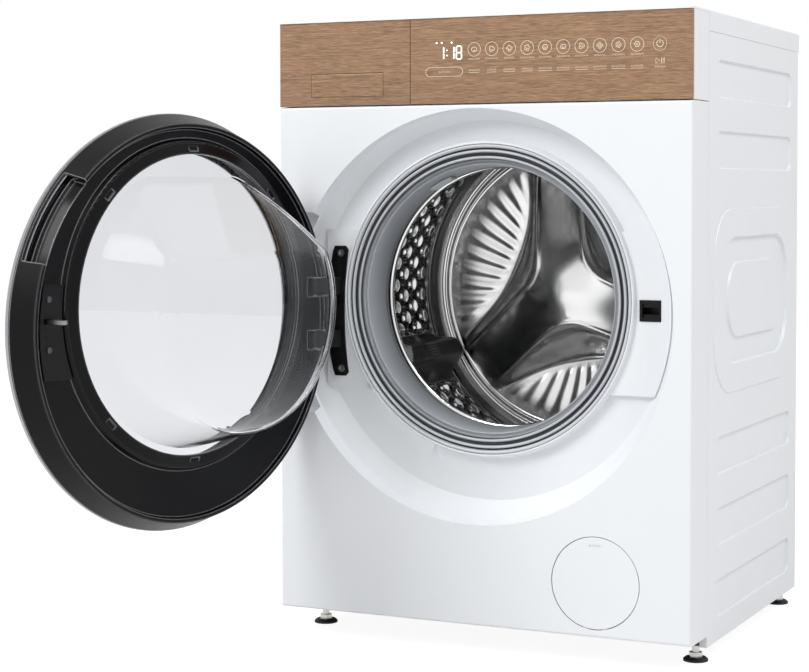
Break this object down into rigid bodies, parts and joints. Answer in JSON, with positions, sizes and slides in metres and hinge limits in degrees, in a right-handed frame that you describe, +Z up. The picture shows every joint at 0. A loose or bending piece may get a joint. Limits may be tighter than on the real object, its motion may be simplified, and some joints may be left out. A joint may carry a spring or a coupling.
{
  "type": "front load washing machine",
  "caption": "Front loading clothes washer with a round glass door, an inner drum, a detergent drawer, a lower filter cover and screw feet.",
  "frame": {"origin": "centre of the footprint of the machine with its door open, on the floor under the feet", "axes": "+Z up, +Y from the front face to the back, +X from the hinge side to the lock side"},
  "size_m": [0.6959, 1.0154, 0.85],
  "materials": {
    "cabinet_white": "semi gloss",
    "cover_white": "fine satin",
    "zinc_sheet": "satin",
    "base_grey": "satin",
    "foot_rubber": "matt",
    "zinc_screw": "satin",
    "wood_fascia": "wood grain under clear gloss",
    "print_white": "flat print",
    "display_light": "lit figures",
    "tray_white": "satin",
    "cap_blue": "satin",
    "gasket_grey": "smooth satin",
    "clear_nozzle": "frosted",
    "tub_grey": "satin",
    "bearing_steel": "ground",
    "stator_core": "varnished",
    "weight_cast": "rough cast",
    "damper_grey": "satin",
    "drum_steel": "bright",
    "lifter_grey": "satin",
    "spider_alloy": "cast",
    "rotor_steel": "satin",
    "bezel_silver": "metallised",
    "window_smoke": "smoked clear",
    "door_black": "gloss with a fine grained rim",
    "bowl_glass": "clear",
    "latch_black": "semi gloss",
    "latch_zinc": "zinc plated",
    "hinge_black": "satin",
    "screw_dark": "dark zinc",
    "flap_white": "semi gloss",
    "filter_green": "satin",
    "fitting_grey": "satin",
    "gland_black": "satin"
  },
  "bodies": {
    "cabinet": {"side_panel_right": "cabinet_white", "side_panel_left": "cabinet_white", "rear_panel": "zinc_sheet", "top_cover": "cover_white", "base_tray": "base_grey", "front_panel": "cabinet_white", "console_frame": "cover_white", "console_fascia": "wood_fascia", "key_marks": "print_white", "display_digits": "display_light", "dispenser_housing": "tray_white", "gasket": "gasket_grey", "spray_nozzle": "clear_nozzle", "tub_front": "tub_grey", "tub_rear": "tub_grey", "shaft_bearings": "bearing_steel", "stator": "stator_core", "counterweight_upper": "weight_cast", "counterweight_lower": "weight_cast", "damper_left": "damper_grey", "damper_right": "damper_grey", "hinge_plate": "hinge_black", "hinge_screws": "screw_dark", "door_lock": "latch_black", "drain_pump": "base_grey", "inlet_valve": "fitting_grey", "drain_outlet": "fitting_grey", "mains_gland": "gland_black"},
    "door": {"door_bezel": "bezel_silver", "door_window": "window_smoke", "door_frame": "door_black", "glass_bowl": "bowl_glass", "latch_plate": "latch_black", "latch_screws": "latch_zinc", "latch_pin": "latch_zinc", "hinge_pin": "latch_zinc"},
    "latch": {"latch_hook": "latch_zinc"},
    "drawer": {"drawer_front": "wood_fascia", "drawer_tray": "tray_white", "siphon_cap": "cap_blue"},
    "drawer_grip": {"drawer_grip_flap": "wood_fascia"},
    "drum": {"drum_shell": "drum_steel", "drum_front_ring": "drum_steel", "drum_back": "drum_steel", "lifter_1": "lifter_grey", "lifter_2": "lifter_grey", "lifter_3": "lifter_grey", "drum_spider": "spider_alloy", "drum_shaft": "bearing_steel", "motor_rotor": "rotor_steel"},
    "filter_door": {"filter_cover": "flap_white"},
    "filter": {"pump_filter": "filter_green"},
    "foot_front_left": {"foot_pad_front_left": "foot_rubber", "foot_stem_front_left": "zinc_screw"},
    "foot_front_right": {"foot_pad_front_right": "foot_rubber", "foot_stem_front_right": "zinc_screw"},
    "foot_rear_left": {"foot_pad_rear_left": "foot_rubber", "foot_stem_rear_left": "zinc_screw"},
    "foot_rear_right": {"foot_pad_rear_right": "foot_rubber", "foot_stem_rear_right": "zinc_screw"}
  },
  "joints": [
    {"name": "door_hinge", "type": "hinge", "parent": "cabinet", "child": "door", "pos_m": [-0.1944, -0.0186, 0.448], "axis": [0, 0, 1], "range_deg": [-9.8, 104.2]},
    {"name": "latch_pivot", "type": "hinge", "parent": "door", "child": "latch", "pos_m": [-0.31214, -0.47981, 0.462], "axis": [0, 0, 1], "range_deg": [-6, 0], "stiffness_Nm_per_rad": 0.4},
    {"name": "drawer_slide", "type": "slide", "parent": "cabinet", "child": "drawer", "axis": [0, -1, 0], "range_m": [0, 0.2]},
    {"name": "grip_flap_hinge", "type": "hinge", "parent": "drawer", "child": "drawer_grip", "pos_m": [-0.1445, -0.0163, 0.7748], "axis": [1, 0, 0], "range_deg": [0, 35], "stiffness_Nm_per_rad": 0.03},
    {"name": "drum_spin", "type": "hinge", "parent": "cabinet", "child": "drum", "pos_m": [0.0486, 0.1824, 0.472], "axis": [0, 1, 0], "continuous": true},
    {"name": "filter_cover_hinge", "type": "hinge", "parent": "cabinet", "child": "filter_door", "pos_m": [0.2165, -0.0176, 0.0488], "axis": [1, 0, 0], "range_deg": [0, 85]},
    {"name": "filter_turn", "type": "hinge", "parent": "cabinet", "child": "filter", "pos_m": [0.2165, 0.0224, 0.1088], "axis": [0, 1, 0], "range_deg": [0, 90]},
    {"name": "foot_front_left_screw", "type": "slide", "parent": "cabinet", "child": "foot_front_left", "axis": [0, 0, 1], "range_m": [-0.01, 0.006]},
    {"name": "foot_front_right_screw", "type": "slide", "parent": "cabinet", "child": "foot_front_right", "axis": [0, 0, 1], "range_m": [-0.01, 0.006]},
    {"name": "foot_rear_left_screw", "type": "slide", "parent": "cabinet", "child": "foot_rear_left", "axis": [0, 0, 1], "range_m": [-0.01, 0.006]},
    {"name": "foot_rear_right_screw", "type": "slide", "parent": "cabinet", "child": "foot_rear_right", "axis": [0, 0, 1], "range_m": [-0.01, 0.006]}
  ]
}
